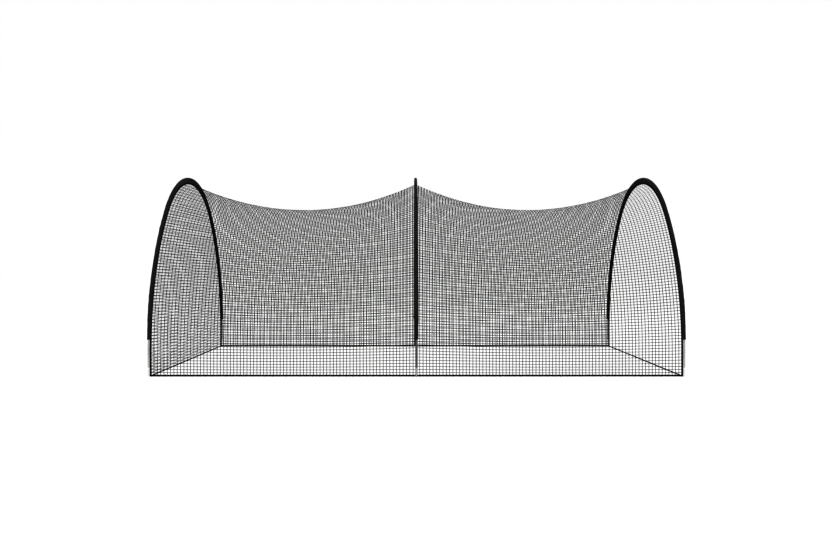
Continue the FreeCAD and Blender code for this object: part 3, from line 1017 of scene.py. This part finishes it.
def strip_mesh(name, outer, inner, uv):
    """A closed strip from its two faces, with UVs in metres."""
    rings, points = outer.shape[:2]
    loop = np.concatenate([outer, inner[:, ::-1]], axis=1)
    loop_uv = np.concatenate([uv, uv[:, ::-1]], axis=1)
    count = 2 * points
    ring, point = np.meshgrid(np.arange(rings - 1), np.arange(count), indexing="ij")
    ahead = (point + 1) % count
    sides = np.stack([ring * count + point, ring * count + ahead,
                      (ring + 1) * count + ahead, (ring + 1) * count + point], axis=-1)
    at = np.arange(points - 1)
    cap = np.stack([at, count - 1 - at, count - 2 - at, at + 1], axis=-1)
    faces = np.concatenate([sides.reshape(-1, 4), cap, cap[:, ::-1] + (rings - 1) * count])
    mesh = bpy.data.meshes.new(name)
    mesh.from_pydata(loop.reshape(-1, 3).tolist(), [], faces.tolist())
    layer = mesh.uv_layers.new(name="cloth")
    layer.data.foreach_set("uv", loop_uv.reshape(-1, 2)[faces.ravel()].astype(np.float32).ravel())
    mesh.polygons.foreach_set("use_smooth", np.ones(len(faces), bool))
    mesh.update()
    return mesh


def signed_volume(mesh):
    mesh.calc_loop_triangles()
    points = np.zeros(len(mesh.vertices) * 3)
    mesh.vertices.foreach_get("co", points)
    corners = np.zeros(len(mesh.loop_triangles) * 3, np.int32)
    mesh.loop_triangles.foreach_get("vertices", corners)
    a, b, c = points.reshape(-1, 3)[corners.reshape(-1, 3)].transpose(1, 0, 2)
    return float((a * np.cross(b, c)).sum() / 6)


for seed, hoop in enumerate(HOOPS, start=11):
    outer, inner, uv = sleeve(hoop, seed)
    mesh = strip_mesh(f"{hoop}_cloth_sleeve", outer, inner, uv)
    mesh.materials.append(SLEEVE_CLOTH)
    if signed_volume(mesh) < 0:
        mesh.flip_normals()
    piece = bpy.data.objects.new(f"{hoop}_cloth_sleeve", mesh)
    scene.collection.objects.link(piece)
    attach(piece, "cage")
    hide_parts(f"{hoop}_pole_sleeve")
    strip = (float(uv[..., 0].max(axis=1).mean()), float(uv[..., 1].max()))
    print(piece.name, "strip", [round(x, 3) for x in strip], "volume", signed_volume(mesh))

# %% [markdown]
# Two rows of stitches hold each sleeve's web together: one along the pocket and one along the
# edge rope. A lockstitch shows as short dashes of thicker thread, alike on both faces, so one
# dash goes right through the web and shows on each side.

# %% Stitches
STITCH_PITCH = 0.010
STITCH_LENGTH = 0.0075
STITCH_WIDTH = 0.0012
SEAM_ROWS = (0.0315, 0.0420)      # in from the middle of the pole
SEAM_POINTS = 500


def stitch_tree():
    tree, start = new_tree("stitches", Pitch=STITCH_PITCH)
    path = join(tree, start.outputs["Geometry"], tree.nodes.new("GeometryNodeMeshToCurve"),
                "Mesh")
    even = add(tree, "GeometryNodeResampleCurve")
    even.mode = "LENGTH"
    join(tree, path.outputs[0], even, "Curve")
    join(tree, start.outputs["Pitch"], even, "Length")
    dash = add(tree, "GeometryNodeMeshCylinder", Vertices=6, Radius=0.5, Depth=STITCH_LENGTH)
    through = 2 * CLOTH + 0.0004 + STITCH_WIDTH
    shaped = add(tree, "GeometryNodeTransform", Scale=(through, STITCH_WIDTH, 1.0))
    join(tree, dash.outputs["Mesh"], shaped, "Geometry")
    turn = add(tree, "FunctionNodeAlignRotationToVector", {"axis": "Z"})
    join(tree, tree.nodes.new("GeometryNodeInputTangent").outputs[0], turn, "Vector")
    level = add(tree, "FunctionNodeAlignRotationToVector", {"axis": "X", "pivot_axis": "Z"},
                Vector=(1.0, 0.0, 0.0))
    join(tree, turn.outputs[0], level, "Rotation")
    set_out = tree.nodes.new("GeometryNodeInstanceOnPoints")
    join(tree, even.outputs[0], set_out, "Points")
    join(tree, shaped.outputs[0], set_out, "Instance")
    join(tree, level.outputs[0], set_out, "Rotation")
    end_tree(tree, start, [set_out.outputs[0]])
    return tree


STITCHES = stitch_tree()
first = pole_line.share_at_height(SLEEVE_END_HEIGHT) + 0.001
for hoop in HOOPS:
    lines = []
    for depth in SEAM_ROWS:
        place, outward = pole_line.at(np.linspace(first, 1 - first, SEAM_POINTS))
        line = np.column_stack([np.full(SEAM_POINTS, hoop_x[hoop]), place - outward * depth])
        lines.append(line)
    piece = grown(f"{hoop}_sleeve_stitches", line_mesh("seams", lines), STITCHES, SEWING_THREAD)
    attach(piece, "cage")
